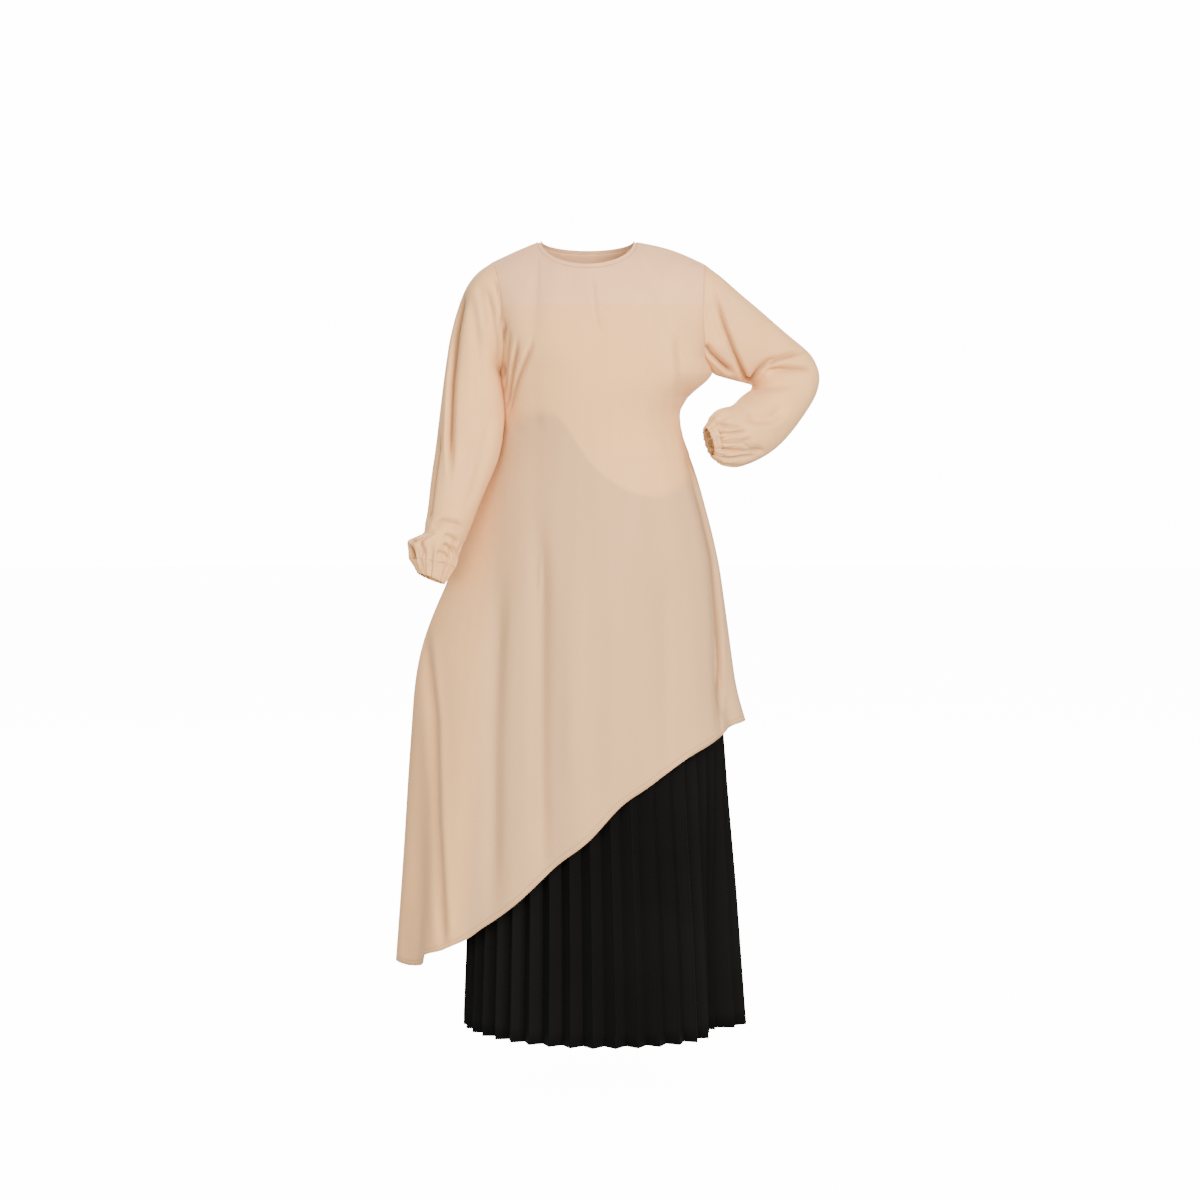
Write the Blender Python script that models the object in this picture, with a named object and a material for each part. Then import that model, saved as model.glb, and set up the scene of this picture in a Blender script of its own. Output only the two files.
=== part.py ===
"""Full-length abaya: a long-sleeved overdress with a slanting hem, over a sunray-pleated skirt.

It keeps the hollow form in which it is worn: right sleeve hanging, left sleeve bent to the hip,
and the long right side of the overdress drawn out to a pinch at arm's length.
The frame's origin is midway between the two neck points, where the shoulders carry it.
+X is the wearer's left, -Y the front and +Z up. Every length is in metres.
"""

import math
from collections import namedtuple

import bmesh
import bpy
import numpy as np

# Driving dimensions
GARMENT_LENGTH = 1.372
CLOTH = 0.0015
SEAM_GAP = 0.0003
ARMHOLE_GAP = 1.4 * SEAM_GAP
CUFF_GAP = 1.5 * SEAM_GAP
MOST_STRETCH = 2.0
SHARP_EDGE = math.radians(50)
UNDERARM_Z = -0.225

# Neckline: a round neck, bound with a narrow strip
NECK_CENTRE_X = -0.004
NECK_HALF_WIDTH = 0.0803
NECK_FRONT = 0.070
NECK_BACK = 0.055
NECK_FRONT_DROP = 0.043
NECK_BACK_DROP = 0.014
BINDING_WIDTH = 0.006
BINDING_THICKNESS = 0.0022
# For each step out from the neck edge: how far forward, how far down at the middle, and at the side
COLLAR_FORWARD = 0.6
COLLAR_DROP = 0.7
COLLAR_SIDE_DROP = 0.3

# How the yokes leave the top edge: forward and down, and how that changes towards the neck
YOKE_FALL = 0.55
YOKE_FALL_AT_NECK = 0.45
YOKE_FORWARD_LOSS = 0.35

# How finely each piece is divided
YOKE_ROWS = 7
BODY_ROWS = 15
ROW_CROWDING = 1.3
SHOULDER_COLUMNS = 8
FRONT_NECK_COLUMNS = 16
BACK_NECK_COLUMNS = 12
SHOULDER_SHARE = 0.25
SLEEVE_COLUMNS = 4 * YOKE_ROWS
GATHERS = 2 * YOKE_ROWS
TURN_STEP = 0.004
DROP_STEP = 0.01
HEM_ROUNDS = 25

# Overdress below the underarm. right and left are the side seams, front and back the depth there;
# a point value over 1 draws that side out towards its seam, under 1 squares it.
Section = namedtuple("Section", "z right left front back right_point left_point")
OVERDRESS = [
    Section(-0.225, -0.152, 0.204, -0.132, 0.106, 0.95, 0.95),
    Section(-0.246, -0.148, 0.196, -0.132, 0.103, 0.95, 0.96),
    Section(-0.268, -0.1445, 0.178, -0.130, 0.100, 0.96, 0.98),
    Section(-0.292, -0.143, 0.160, -0.127, 0.096, 0.98, 1.00),
    Section(-0.320, -0.143, 0.156, -0.124, 0.093, 1.00, 1.00),
    Section(-0.350, -0.146, 0.166, -0.122, 0.094, 1.05, 1.00),
    Section(-0.390, -0.158, 0.181, -0.124, 0.101, 1.15, 0.98),
    Section(-0.450, -0.185, 0.198, -0.130, 0.116, 1.25, 0.96),
    Section(-0.550, -0.231, 0.223, -0.140, 0.134, 1.38, 0.95),
    Section(-0.650, -0.276, 0.239, -0.149, 0.144, 1.45, 0.97),
    Section(-0.707, -0.299, 0.247, -0.155, 0.149, 1.42, 1.00),
    Section(-0.800, -0.310, 0.262, -0.165, 0.158, 1.30, 1.06),
    Section(-0.835, -0.3125, 0.274, -0.169, 0.162, 1.27, 1.08),
    Section(-0.900, -0.318, 0.284, -0.176, 0.168, 1.20, 1.10),
    Section(-1.050, -0.328, 0.300, -0.192, 0.183, 1.15, 1.10),
    Section(-1.270, -0.345, 0.315, -0.212, 0.202, 1.12, 1.10),
]

# Soft folds of the overdress. turn runs 0 to 1 from the right seam round the front to the left
# seam, and on to 2 round the back; out is how far the fold stands out, or in where negative.
Fold = namedtuple("Fold", "turn_top turn_hem z_start z_full half_width out")
FOLDS = [
    Fold(0.10, 0.115, -0.74, -1.15, 0.060, -0.024),
    Fold(0.22, 0.215, -0.80, -1.20, 0.070, 0.010),
    Fold(0.32, 0.330, -0.62, -1.00, 0.050, -0.010),
    Fold(0.38, 0.380, -0.70, -1.05, 0.045, 0.009),
    Fold(0.43, 0.430, -0.55, -1.00, 0.045, -0.011),
    Fold(0.52, 0.510, -0.70, -1.00, 0.060, 0.007),
    Fold(0.62, 0.630, -0.62, -0.90, 0.055, -0.007),
    Fold(0.72, 0.730, -0.60, -0.86, 0.050, 0.007),
    Fold(0.90, 0.895, -0.46, -0.83, 0.045, -0.020),
    Fold(1.12, 1.110, -0.46, -0.85, 0.050, -0.016),
    Fold(1.26, 1.270, -0.50, -0.95, 0.060, 0.014),
    Fold(1.40, 1.400, -0.45, -1.00, 0.060, -0.014),
    Fold(1.54, 1.540, -0.45, -1.00, 0.065, 0.014),
    Fold(1.68, 1.670, -0.50, -1.05, 0.060, -0.015),
    Fold(1.86, 1.860, -0.74, -1.15, 0.060, -0.022),
]

# The slanting hem, by how far across it is
Hem = namedtuple("Hem", "x z")
FRONT_HEM = [
    Hem(-0.345, -1.261),
    Hem(-0.318, -1.256),
    Hem(-0.292, -1.246),
    Hem(-0.271, -1.216),
    Hem(-0.207, -1.186),
    Hem(-0.152, -1.148),
    Hem(-0.084, -1.086),
    Hem(-0.062, -1.063),
    Hem(0.001, -1.014),
    Hem(0.060, -0.952),
    Hem(0.085, -0.939),
    Hem(0.167, -0.881),
    Hem(0.215, -0.858),
    Hem(0.240, -0.842),
    Hem(0.274, -0.833),
]
BACK_HEM = [
    Hem(-0.345, -1.261),
    Hem(-0.200, -1.185),
    Hem(0.000, -1.022),
    Hem(0.160, -0.887),
    Hem(0.274, -0.833),
]

# A panel's own lines bend to the armhole from this far across it
ARMHOLE_PULL = 0.5

# Armholes: shoulder point, underarm point, how far the seam bows front and back and inwards,
# and how far the shoulder seam rises between armhole and neck
Armhole = namedtuple("Armhole", "shoulder_x shoulder_z under_x front back inward shoulder_rise")
RIGHT_ARMHOLE = Armhole(-0.170, -0.037, -0.152, 0.062, 0.056, 0.012, 0.001)
LEFT_ARMHOLE = Armhole(0.2005, -0.041, 0.204, 0.062, 0.056, -0.008, 0.006)

# Sleeves: each ring's outer and inner edge as seen from the front, its middle's depth and its
# half depth, from just past the armhole to the top of the cuff
Ring = namedtuple("Ring", "outer_x outer_y outer_z inner_x inner_y inner_z half_depth")
RIGHT_SLEEVE = [
    Ring(-0.193, 0.000, -0.049, -0.156, 0.000, -0.231, 0.061),
    Ring(-0.216, -0.001, -0.079, -0.155, -0.001, -0.238, 0.060),
    Ring(-0.228, -0.003, -0.110, -0.154, -0.003, -0.246, 0.058),
    Ring(-0.237, -0.007, -0.146, -0.152, -0.007, -0.258, 0.056),
    Ring(-0.245, -0.013, -0.188, -0.150, -0.013, -0.275, 0.054),
    Ring(-0.253, -0.023, -0.238, -0.147, -0.023, -0.300, 0.052),
    Ring(-0.259, -0.052, -0.299, -0.147, -0.052, -0.322, 0.050),
    Ring(-0.265, -0.062, -0.354, -0.152, -0.063, -0.371, 0.049),
    Ring(-0.273, -0.072, -0.407, -0.176, -0.074, -0.422, 0.048),
    Ring(-0.276, -0.080, -0.444, -0.190, -0.082, -0.456, 0.047),
    Ring(-0.279, -0.086, -0.473, -0.200, -0.088, -0.485, 0.047),
    Ring(-0.284, -0.091, -0.498, -0.210, -0.094, -0.507, 0.047),
    Ring(-0.305, -0.094, -0.514, -0.219, -0.099, -0.525, 0.047),
    Ring(-0.309, -0.097, -0.529, -0.225, -0.102, -0.542, 0.042),
    Ring(-0.305, -0.100, -0.545, -0.231, -0.104, -0.558, 0.036),
]
RIGHT_CUFF = [
    Ring(-0.304, -0.100, -0.547, -0.232, -0.104, -0.560, 0.035),
    Ring(-0.298, -0.102, -0.558, -0.240, -0.106, -0.574, 0.031),
    Ring(-0.292, -0.104, -0.569, -0.248, -0.107, -0.586, 0.028),
]
LEFT_SLEEVE = [
    Ring(0.226, 0.004, -0.058, 0.214, 0.004, -0.230, 0.061),
    Ring(0.256, 0.013, -0.086, 0.227, 0.010, -0.234, 0.059),
    Ring(0.292, 0.027, -0.114, 0.244, 0.018, -0.239, 0.056),
    Ring(0.325, 0.041, -0.142, 0.260, 0.027, -0.243, 0.053),
    Ring(0.356, 0.053, -0.168, 0.273, 0.034, -0.246, 0.050),
    Ring(0.385, 0.062, -0.190, 0.284, 0.040, -0.248, 0.049),
    Ring(0.396, 0.064, -0.209, 0.283, 0.034, -0.250, 0.050),
    Ring(0.404, 0.062, -0.232, 0.282, 0.028, -0.253, 0.051),
    Ring(0.399, 0.053, -0.260, 0.280, 0.020, -0.256, 0.052),
    Ring(0.382, 0.038, -0.290, 0.275, 0.010, -0.258, 0.053),
    Ring(0.358, 0.016, -0.321, 0.267, -0.006, -0.264, 0.053),
    Ring(0.332, -0.010, -0.350, 0.259, -0.026, -0.270, 0.052),
    Ring(0.306, -0.035, -0.370, 0.250, -0.047, -0.279, 0.049),
    Ring(0.280, -0.056, -0.382, 0.240, -0.064, -0.285, 0.045),
    Ring(0.257, -0.071, -0.387, 0.229, -0.076, -0.287, 0.041),
    Ring(0.238, -0.081, -0.386, 0.217, -0.084, -0.292, 0.036),
    Ring(0.223, -0.086, -0.381, 0.207, -0.088, -0.303, 0.032),
]
LEFT_CUFF = [
    Ring(0.222, -0.086, -0.380, 0.207, -0.088, -0.304, 0.031),
    Ring(0.215, -0.088, -0.376, 0.201, -0.090, -0.312, 0.029),
    Ring(0.209, -0.089, -0.371, 0.196, -0.091, -0.320, 0.026),
]
# Which way each sleeve's front faces past its first rings, and how far gathers stand out
RIGHT_FACING = (0.0, -0.98, 0.20)
LEFT_FACING = (0.22, -0.95, 0.16)
FACING_RINGS = 5
GATHER_RISE = (0.0012, 0.0022, 0.0026)
CUFF_RISE = (0.0022, 0.0016, 0.0022)
CUFF_THICKNESS = 0.002

# Skirt: side, front and back of the middle of its pleats, and how deep they fold
Skirt = namedtuple("Skirt", "z right left front back right_point pleat")
SKIRT = [
    Skirt(-0.372, -0.1440, 0.1680, -0.1175, 0.0920, 1.10, 0.004),
    Skirt(-0.4500, -0.1660, 0.1850, -0.1180, 0.1030, 1.20, 0.008),
    Skirt(-0.5600, -0.1880, 0.2020, -0.1250, 0.1180, 1.20, 0.011),
    Skirt(-0.7500, -0.1950, 0.2210, -0.1380, 0.1310, 1.05, 0.014),
    Skirt(-0.9600, -0.2020, 0.2350, -0.1510, 0.1420, 1.00, 0.016),
    Skirt(-1.1700, -0.2080, 0.2520, -0.1650, 0.1520, 1.00, 0.017),
    Skirt(-GARMENT_LENGTH, -0.2150, 0.2650, -0.1800, 0.1620, 1.00, 0.018),
]
SKIRT_WAVES = [
    Fold(0.860, 0.855, -0.80, -1.30, 0.070, -0.044),
    Fold(0.960, 0.960, -0.90, -1.35, 0.045, 0.006),
    Fold(1.160, 1.160, -0.80, -1.30, 0.070, -0.018),
    Fold(1.480, 1.480, -0.80, -1.30, 0.080, 0.010),
    Fold(1.760, 1.760, -0.80, -1.30, 0.070, -0.014),
]
PLEATS = 40
PANEL_PLEATS = PLEATS // 2

# The band inside the overdress that carries the skirt
WAISTBAND_TOP = -0.341
WAISTBAND_BOTTOM = -0.371
WAISTBAND_THICKNESS = 0.002
WAISTBAND_CLEARANCE = 0.0008
WAISTBAND_COLUMNS = 60

BEIGE = (0.76, 0.60, 0.45)
BEIGE_ROUGHNESS = 0.85
BLACK = (0.010, 0.010, 0.011)
BLACK_ROUGHNESS = 0.6


def clear_scene():
    for obj in list(bpy.data.objects):
        bpy.data.objects.remove(obj)


def cloth_material(name, colour, roughness):
    material = bpy.data.materials.new(name)
    material.use_nodes = True
    shader = material.node_tree.nodes["Principled BSDF"]
    shader.inputs["Base Color"].default_value = (*colour, 1.0)
    shader.inputs["Roughness"].default_value = roughness
    shader.inputs["Metallic"].default_value = 0.0
    return material


def unit(vectors):
    return vectors / np.linalg.norm(vectors, axis=-1, keepdims=True)


def smoothstep(share):
    share = min(max(share, 0.0), 1.0)
    return share * share * (3.0 - 2.0 * share)


def along(rows, key, value, at):
    """Column `value` where column `key` is `at`, on a smooth curve through the table's rows."""
    keys = np.array([getattr(row, key) for row in rows])
    values = np.array([getattr(row, value) for row in rows])
    if keys[0] > keys[-1]:
        keys, values = keys[::-1], values[::-1]
    at = min(max(at, keys[0]), keys[-1])
    slopes = np.gradient(values, keys)
    i = min(max(int(np.searchsorted(keys, at)) - 1, 0), len(keys) - 2)
    step = keys[i + 1] - keys[i]
    t = (at - keys[i]) / step
    return (
        (2 * t**3 - 3 * t**2 + 1) * values[i]
        + (t**3 - 2 * t**2 + t) * step * slopes[i]
        + (3 * t**2 - 2 * t**3) * values[i + 1]
        + (t**3 - t**2) * step * slopes[i + 1]
    )


def oval(turn, right, left, front, back, right_point=1.0, left_point=1.0):
    """A point of a horizontal section, `turn` running from the right seam round the front."""
    across, forward = math.cos(math.pi * turn), math.sin(math.pi * turn)
    point = right_point if across > 0 else left_point
    x = (right + left) / 2 - (left - right) / 2 * math.copysign(abs(across) ** point, across)
    depth = front if forward > 0 else back
    return x, depth * abs(forward) ** point


def plain_overdress(turn, z):
    columns = ("right", "left", "front", "back", "right_point", "left_point")
    return oval(turn, *(along(OVERDRESS, "z", column, z) for column in columns))


def fold_out(folds, turn, z):
    """How far the folds move the cloth out at this place."""
    total = 0.0
    for fold in folds:
        grown = smoothstep((fold.z_start - z) / (fold.z_start - fold.z_full))
        middle = fold.turn_top + (fold.turn_hem - fold.turn_top) * grown
        away = (turn - middle + 1.0) % 2.0 - 1.0
        total += fold.out * grown * math.exp(-((away / fold.half_width) ** 2))
    return total


def overdress_point(turn, z):
    x, y = plain_overdress(turn, z)
    ahead, behind = plain_overdress(turn + TURN_STEP, z), plain_overdress(turn - TURN_STEP, z)
    run_x, run_y = ahead[0] - behind[0], ahead[1] - behind[1]
    out = fold_out(FOLDS, turn, z) / math.hypot(run_x, run_y)
    return np.array([x + run_y * out, y - run_x * out, z])


def hem_z(turn):
    """The height at which this line of the overdress meets its hem."""
    hem = FRONT_HEM if turn % 2.0 <= 1.0 else BACK_HEM
    z = (hem[0].z + hem[-1].z) / 2
    for _ in range(HEM_ROUNDS):
        z = (z + along(hem, "x", "z", overdress_point(turn, z)[0])) / 2
    return z


def neckline(turn, width=0.0):
    """A point of the neck edge, or of the line `width` outside it in the cloth."""
    sideways, forward = math.cos(math.pi * turn), math.sin(math.pi * turn)
    depth = (NECK_FRONT if forward > 0 else NECK_BACK) + width * COLLAR_FORWARD
    drop = (NECK_FRONT_DROP if forward > 0 else NECK_BACK_DROP) + width * COLLAR_DROP
    return np.array(
        [
            NECK_CENTRE_X - (NECK_HALF_WIDTH + width) * sideways,
            -depth * forward,
            -drop * abs(forward) - width * COLLAR_SIDE_DROP,
        ]
    )


def armhole_point(hole, share, front):
    """A point of the armhole seam: share runs 0 at the shoulder to 1 at the underarm."""
    bow = math.sin(math.pi * share)
    middle = (hole.shoulder_z + UNDERARM_Z) / 2
    half = (hole.shoulder_z - UNDERARM_Z) / 2
    return np.array(
        [
            hole.shoulder_x + (hole.under_x - hole.shoulder_x) * share + hole.inward * bow,
            (-hole.front if front else hole.back) * bow,
            middle + half * math.cos(math.pi * share),
        ]
    )


def top_edge(across, front):
    """The panel's top edge: shoulder seam, round the neck binding, shoulder seam."""
    edge = BINDING_WIDTH + SEAM_GAP
    if SHOULDER_SHARE <= across <= 1.0 - SHOULDER_SHARE:
        around = (across - SHOULDER_SHARE) / (1.0 - 2.0 * SHOULDER_SHARE)
        return neckline(around if front else 2.0 - around, edge)
    if across < 0.5:
        hole, neck, done = RIGHT_ARMHOLE, neckline(0.0, edge), across / SHOULDER_SHARE
    else:
        hole, neck, done = LEFT_ARMHOLE, neckline(1.0, edge), (1.0 - across) / SHOULDER_SHARE
    point = armhole_point(hole, 0.0, front) * (1.0 - done) + neck * done
    point[2] += hole.shoulder_rise * math.sin(math.pi * done)
    return point


def swept(first, first_run, last, last_run, t):
    """A point of the smooth curve that leaves first along first_run and meets last."""
    return (
        (2 * t**3 - 3 * t**2 + 1) * first
        + (t**3 - 2 * t**2 + t) * first_run
        + (3 * t**2 - 2 * t**3) * last
        + (t**3 - t**2) * last_run
    )


def yoke_point(across, front, share):
    """The panel above the underarm: share 0 at the top edge, 1 at the underarm's level."""
    turn = across if front else 2.0 - across
    top, level = top_edge(across, front), overdress_point(turn, UNDERARM_Z)
    reach = np.linalg.norm(level - top)
    at_neck = math.sin(math.pi * across) ** 2
    facing = -1.0 if front else 1.0
    forward = facing * (1.0 - YOKE_FORWARD_LOSS * at_neck)
    fall = YOKE_FALL + YOKE_FALL_AT_NECK * at_neck
    top_run = unit(np.array([0.0, forward, -fall])) * reach
    level_run = unit(overdress_point(turn, UNDERARM_Z - DROP_STEP) - level) * reach
    point = swept(top, top_run, level, level_run, share)
    for hole, nearness in ((RIGHT_ARMHOLE, 1.0 - across), (LEFT_ARMHOLE, across)):
        pull = smoothstep((nearness - ARMHOLE_PULL) / (1.0 - ARMHOLE_PULL))
        if pull > 0.0:
            ends = [armhole_point(hole, end, front) for end in (0.0, 1.0)]
            unpulled = swept(ends[0], top_run, ends[1], level_run, share)
            point = point + (armhole_point(hole, share, front) - unpulled) * pull
    return point


def spread(neck_columns):
    """Where a panel's columns lie, 0 at the right seam to 1 at the left, even along the neck."""
    shoulder = [SHOULDER_SHARE * i / SHOULDER_COLUMNS for i in range(SHOULDER_COLUMNS)]
    neck_share = 1.0 - 2.0 * SHOULDER_SHARE
    neck = [SHOULDER_SHARE + neck_share * i / neck_columns for i in range(neck_columns + 1)]
    return shoulder + neck + [1.0 - across for across in reversed(shoulder)]


def panel_rings(front):
    """Rows of outer points of a body panel, from its top edge to its hem."""
    places = spread(FRONT_NECK_COLUMNS) if front else spread(BACK_NECK_COLUMNS)[::-1]
    turns = [across if front else 2.0 - across for across in places]
    rings = []
    for row in range(YOKE_ROWS):
        share = row / YOKE_ROWS
        rings.append(np.array([yoke_point(across, front, share) for across in places]))
    hems = [hem_z(turn) for turn in turns]
    for row in range(BODY_ROWS + 1):
        fall = (row / BODY_ROWS) ** ROW_CROWDING
        heights = [UNDERARM_Z + (hem - UNDERARM_Z) * fall for hem in hems]
        rings.append(np.array([overdress_point(*place) for place in zip(turns, heights)]))
    return rings


def sleeve_ring(row, facing, columns, rise=0.0):
    """One ring of a sleeve or cuff, from its outer edge round the front; rise gathers it."""
    outer = np.array([row.outer_x, row.outer_y, row.outer_z])
    inner = np.array([row.inner_x, row.inner_y, row.inner_z])
    half = (outer - inner) / 2
    forward = unit(facing - half * (facing @ half) / (half @ half))
    points = []
    for column in range(columns):
        angle = 2.0 * math.pi * column / columns
        swell = 1.0 + rise * math.cos(GATHERS * angle) / row.half_depth
        across = half * math.cos(angle) + forward * row.half_depth * math.sin(angle)
        points.append((outer + inner) / 2 + across * swell)
    return np.array(points)


def armhole_ring(hole):
    """The armhole seam with a point midway between each two rows of the panels."""
    corners = []
    for row in range(2 * YOKE_ROWS):
        share = row / YOKE_ROWS
        front = share <= 1.0
        corners.append(armhole_point(hole, share if front else 2.0 - share, front))
    corners = np.array(corners)
    ring = np.empty((2 * len(corners), 3))
    ring[0::2] = corners
    ring[1::2] = (corners + np.roll(corners, -1, axis=0)) / 2
    return ring


def sleeve_rings(hole, rows, facing):
    rings = [armhole_ring(hole)]
    plain = len(rows) - len(GATHER_RISE)
    for index, row in enumerate(rows):
        turned = smoothstep(index / FACING_RINGS)
        ring_facing = np.array([0.0, -1.0, 0.0]) * (1.0 - turned) + np.array(facing) * turned
        if index < plain:
            rings.append(sleeve_ring(row, ring_facing, SLEEVE_COLUMNS))
        else:
            rise = GATHER_RISE[index - plain]
            rings.append(sleeve_ring(row, ring_facing, 2 * SLEEVE_COLUMNS, rise))
    return rings


def cuff_rings(rows, facing):
    return [
        sleeve_ring(row, np.array(facing), 2 * SLEEVE_COLUMNS, rise)
        for row, rise in zip(rows, CUFF_RISE)
    ]


def skirt_rings(first_pleat, pleats):
    """Rows of a skirt panel, each fold line a column: valleys at the seams, ridges between."""
    rings = []
    for row in SKIRT:
        section = (row.right, row.left, row.front, row.back, row.right_point)
        points = []
        for fold in range(2 * first_pleat, 2 * (first_pleat + pleats) + 1):
            turn = fold / PLEATS
            x, y = oval(turn, *section)
            ahead, behind = oval(turn + TURN_STEP, *section), oval(turn - TURN_STEP, *section)
            run_x, run_y = ahead[0] - behind[0], ahead[1] - behind[1]
            out = row.pleat / 2 * (1.0 if fold % 2 else -1.0) + fold_out(SKIRT_WAVES, turn, row.z)
            out /= math.hypot(run_x, run_y)
            points.append((x + run_y * out, y - run_x * out, row.z))
        rings.append(np.array(points))
    return rings


class Cloth:
    """One cut piece: rings of outer points, top to bottom, and the way out at each of them."""

    def __init__(self, rings, closed, mirrored=False):
        self.rings = [ring.copy() for ring in rings]
        self.closed = closed
        self.mirrored = mirrored
        self.starts = np.cumsum([0] + [len(ring) for ring in rings])
        self.faces = self.ring_faces()
        self.out = self.vertex_normals()

    def ring_faces(self):
        """Faces between each two rings; a ring with twice the points takes three for one."""
        faces = []
        for i in range(len(self.rings) - 1):
            here, below = len(self.rings[i]), len(self.rings[i + 1])
            top, foot = self.starts[i], self.starts[i + 1]
            doubled = below == 2 * here
            for j in range(here if self.closed else here - 1):
                k = (j + 1) % here
                if doubled:
                    low = [foot + (2 * j + n) % below for n in range(3)]
                    faces += [
                        (top + j, low[0], low[1]),
                        (top + j, low[1], top + k),
                        (top + k, low[1], low[2]),
                    ]
                else:
                    faces.append((top + j, foot + j, foot + k, top + k))
        return [face[::-1] for face in faces] if self.mirrored else faces

    def face_normals(self, points):
        """Each face's way out, as long as its area is large."""
        normals = []
        for face in self.faces:
            corners = points[list(face)]
            across = np.cross(corners[1] - corners[0], corners[-1] - corners[0])
            if len(face) == 4:
                across = across + np.cross(corners[3] - corners[2], corners[1] - corners[2])
            normals.append(across)
        return normals

    def vertex_normals(self):
        points = np.concatenate(self.rings)
        total = np.zeros_like(points)
        for face, across in zip(self.faces, self.face_normals(points)):
            for corner in face:
                total[corner] += across
        total = unit(total)
        return [total[a:b] for a, b in zip(self.starts[:-1], self.starts[1:])]

    def inner_points(self, thickness):
        """The points behind the outer ones, further in at a fold so that its walls keep thickness."""
        points, out = np.concatenate(self.rings), np.concatenate(self.out)
        facing, size = np.zeros(len(points)), np.zeros(len(points))
        for face, across in zip(self.faces, self.face_normals(points)):
            for corner in face:
                facing[corner] += across @ out[corner]
                size[corner] += np.linalg.norm(across)
        stretch = np.minimum(size / facing, MOST_STRETCH)
        return points - thickness * stretch[:, None] * out

    def border(self):
        """The edge of an open piece, or the two end loops of a tube, as loops of indices."""
        last = len(self.rings) - 1
        first_row = list(range(self.starts[0], self.starts[1]))
        last_row = list(range(self.starts[last], self.starts[last + 1]))
        if self.closed:
            return [first_row, last_row[::-1]]
        down = [self.starts[i + 1] - 1 for i in range(1, last)]
        up = [self.starts[i] for i in range(last - 1, 0, -1)]
        return [first_row + down + last_row[::-1] + up]

    def make(self, name, material, thickness, collection):
        outer = np.concatenate(self.rings)
        inner = self.inner_points(thickness)
        mesh = bmesh.new()
        verts = [mesh.verts.new(point) for point in np.concatenate([outer, inner])]
        count = len(outer)
        for face in self.faces:
            mesh.faces.new([verts[i] for i in face])
            mesh.faces.new([verts[i + count] for i in face[::-1]])
        for loop in self.border():
            loop = loop[::-1] if self.mirrored else loop
            for a, b in zip(loop, loop[1:] + loop[:1]):
                mesh.faces.new([verts[a], verts[b], verts[b + count], verts[a + count]])
        data = bpy.data.meshes.new(name)
        mesh.to_mesh(data)
        mesh.free()
        data.materials.append(material)
        data.shade_smooth()
        data.set_sharp_from_angle(angle=SHARP_EDGE)
        obj = bpy.data.objects.new(name, data)
        collection.objects.link(obj)
        return obj


def set_apart(first, second, row, first_edge, second_edge):
    """One point of a seam: the two pieces take the same way out and draw back half the gap."""
    both = unit(first.out[row][first_edge] + second.out[row][second_edge])
    for piece, edge in ((first, first_edge), (second, second_edge)):
        ring = piece.rings[row]
        behind = ring[1] if edge == 0 else ring[-2]
        piece.out[row][edge] = both
        ring[edge] += unit(behind - ring[edge]) * SEAM_GAP / 2


def join_sides(front, back, first_row):
    """The side seams: each panel's two edges lie along the other panel's."""
    for row in range(first_row, len(front.rings)):
        set_apart(front, back, row, 0, -1)
        set_apart(front, back, row, -1, 0)


def join_shoulders(front, back):
    """The shoulder seams, from each armhole to the neck binding."""
    for piece, backward in ((front, -1.0), (back, 1.0)):
        for column in range(SHOULDER_COLUMNS + 1):
            for edge in (column, -1 - column):
                piece.out[0][edge] = unit(piece.out[0][edge] * np.array([1.0, 0.0, 1.0]))
                piece.rings[0][edge, 1] += backward * SEAM_GAP / 2


def join_neck(binding, front, back):
    """The binding and the panels take the same way out where they meet."""
    way = binding.out[-1]
    for column in range(FRONT_NECK_COLUMNS + 1):
        panel = front.out[0][SHOULDER_COLUMNS + column]
        way[column] = panel[:] = unit(way[column] + panel)
    for column in range(BACK_NECK_COLUMNS + 1):
        at = (FRONT_NECK_COLUMNS + column) % len(way)
        panel = back.out[0][SHOULDER_COLUMNS + column]
        if column in (0, BACK_NECK_COLUMNS):
            panel[:] = way[at]
        else:
            way[at] = panel[:] = unit(way[at] + panel)


def join_armhole(front, back, sleeve, right):
    """Sets the sleeve's head on the armhole: shared way out, and the sleeve moved off by a gap."""
    head, way = sleeve.rings[0], sleeve.out[0]
    for row in range(2 * YOKE_ROWS):
        on_front = row <= YOKE_ROWS
        panel_row = row if on_front else 2 * YOKE_ROWS - row
        panel, edge = (front, 0 if right else -1) if on_front else (back, -1 if right else 0)
        both = unit(panel.out[panel_row][edge] + way[2 * row])
        panel.out[panel_row][edge] = way[2 * row] = both
        if row in (0, YOKE_ROWS):
            back.out[panel_row][-1 if right else 0] = both
    way[1::2] = unit(way[0::2] + np.roll(way[0::2], -1, axis=0))
    run = unit(np.roll(head, -1, axis=0) - np.roll(head, 1, axis=0))
    off = unit(np.cross(run, way))
    away = sleeve.rings[1].mean(axis=0) - head.mean(axis=0)
    head += off * math.copysign(ARMHOLE_GAP, (off @ away).sum())


def join_cuff(sleeve, cuff):
    """Starts the cuff at the sleeve's last ring, moved on by a gap."""
    end = sleeve.rings[-1]
    on = unit((cuff.rings[1] - end).mean(axis=0))
    both = unit(sleeve.out[-1] + cuff.out[0])
    sleeve.out[-1][:] = both
    cuff.out[0][:] = both
    cuff.rings[0][:] = end + on * CUFF_GAP


def neck_binding():
    """A strip round the neck, a little proud of the panels that it binds."""
    turns = [column / FRONT_NECK_COLUMNS for column in range(FRONT_NECK_COLUMNS)]
    turns += [1.0 + column / BACK_NECK_COLUMNS for column in range(BACK_NECK_COLUMNS)]
    rings = [
        np.array([neckline(turn, width) for turn in turns])
        for width in (0.0, BINDING_WIDTH / 2, BINDING_WIDTH)
    ]
    return Cloth(rings, closed=True)


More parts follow.
